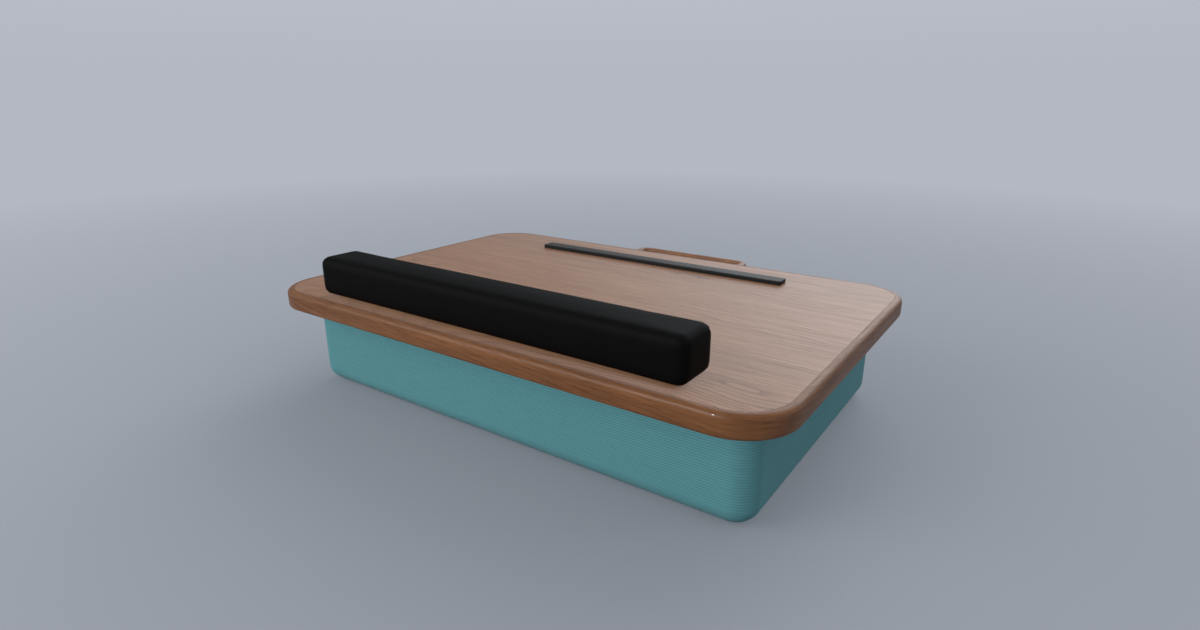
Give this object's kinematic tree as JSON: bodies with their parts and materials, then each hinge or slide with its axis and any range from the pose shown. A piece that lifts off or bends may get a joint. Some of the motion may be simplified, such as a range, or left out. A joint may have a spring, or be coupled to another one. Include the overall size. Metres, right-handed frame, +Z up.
{
  "type": "lap desk with lift lid",
  "caption": "Lap desk with a rounded wooden lid that lifts on rear hinges over a padded, cloth-covered storage box, with a wrist rest, a stop strip and a carry handle.",
  "frame": {"origin": "centre of the box's flat underside, where the desk rests on the lap or a table", "axes": "+X to the user's right along the lid's long side, +Y away from the user towards the hinges and the carry handle, +Z up"},
  "size_m": [0.54, 0.4147, 0.143],
  "materials": {
    "board_wood": "satin lacquered veneer",
    "lipping_wood": "satin lacquered solid wood",
    "plywood": "sanded birch plywood",
    "pad_black": "matte black leatherette over foam",
    "strip_rubber": "matte black rubber",
    "cover_cloth": "ribbed woven cloth",
    "lining_felt": "pressed felt",
    "foam": "open-cell foam",
    "hinge_brass": "brushed brass",
    "screw_steel": "zinc-plated steel",
    "magnet_metal": "nickel-plated magnet"
  },
  "bodies": {
    "box": {"front_wall": "plywood", "rear_wall": "plywood", "left_wall": "plywood", "right_wall": "plywood", "corner_posts": "plywood", "floor_panel": "plywood", "felt_lining": "lining_felt", "rim_rail_front": "lipping_wood", "rim_rail_rear": "lipping_wood", "rim_rail_left": "lipping_wood", "rim_rail_right": "lipping_wood", "rim_screws": "hinge_brass", "lid_bumpers": "strip_rubber", "catch_magnets": "magnet_metal", "floor_cushion": "foam", "foam_front": "foam", "foam_rear": "foam", "foam_left": "foam", "foam_right": "foam", "cover_base": "cover_cloth", "cover_sides": "cover_cloth", "hinge_blocks": "plywood", "hinge_box_leaf_left": "hinge_brass", "hinge_box_leaf_right": "hinge_brass", "hinge_box_screws": "hinge_brass", "hinge_pin_left": "hinge_brass", "hinge_pin_right": "hinge_brass"},
    "lid": {"lid_board": "board_wood", "edge_lipping": "lipping_wood", "wrist_rest_pad": "pad_black", "wrist_rest_board": "plywood", "wrist_rest_screws": "screw_steel", "stop_strip": "strip_rubber", "carry_handle": "lipping_wood", "handle_dowels": "plywood", "hinge_lid_leaf_left": "hinge_brass", "hinge_lid_leaf_right": "hinge_brass", "hinge_lid_screws": "hinge_brass", "strike_plates": "screw_steel", "strike_plate_screws": "screw_steel"}
  },
  "joints": [
    {"name": "lid_hinge", "type": "hinge", "parent": "box", "child": "lid", "pos_m": [0, 0.1533, 0.0837], "axis": [-1, 0, 0], "range_deg": [0, 95]}
  ]
}
